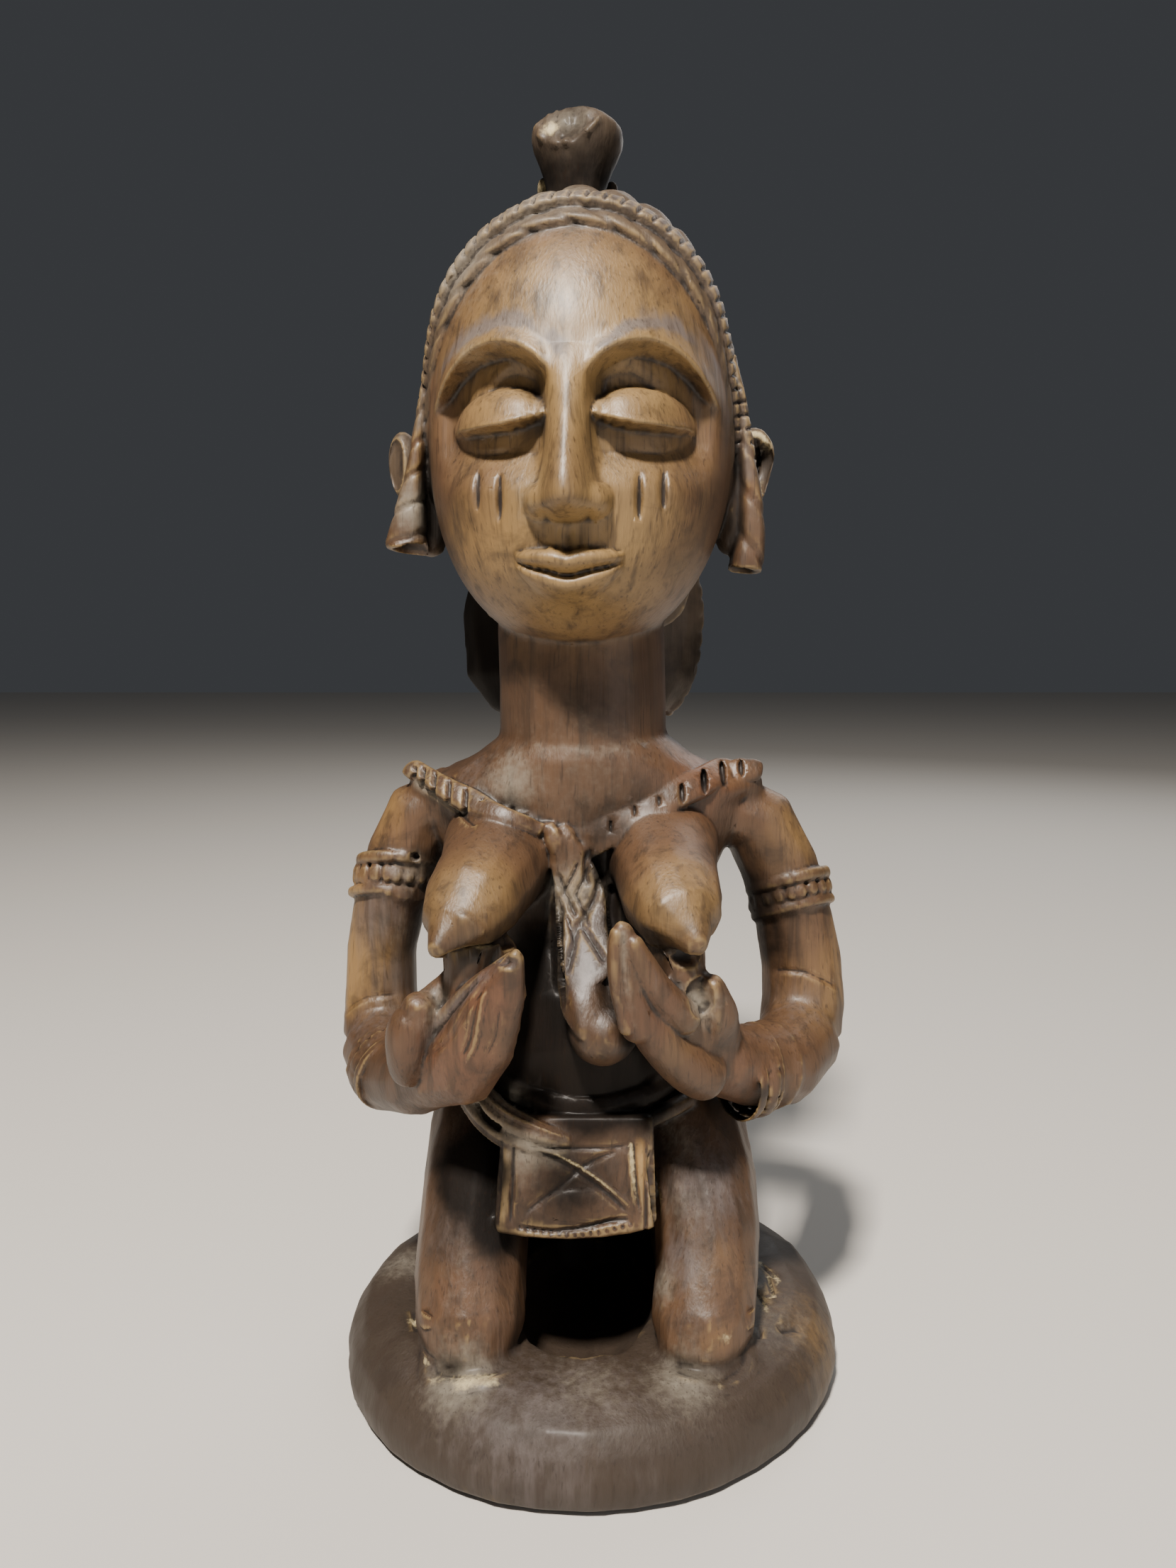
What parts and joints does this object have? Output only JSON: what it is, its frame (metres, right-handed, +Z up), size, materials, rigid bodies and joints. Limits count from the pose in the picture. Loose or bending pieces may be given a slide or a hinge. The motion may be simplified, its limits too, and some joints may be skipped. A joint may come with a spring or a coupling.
{
  "type": "carved kneeling figure",
  "caption": "Carved wooden kneeling woman on a round base, long neck, large head with banded hair and topknot, hands cupped under her breasts.",
  "frame": {"origin": "centre of the round base's flat underside", "axes": "+Z up, -Y towards the viewer, the way the figure faces, +X to the viewer's right"},
  "size_m": [0.1348, 0.1306, 0.3275],
  "materials": {
    "carved_wood": "satin, worn and dusty"
  },
  "bodies": {
    "root": {"kneeling_figure": "carved_wood"}
  },
  "joints": []
}
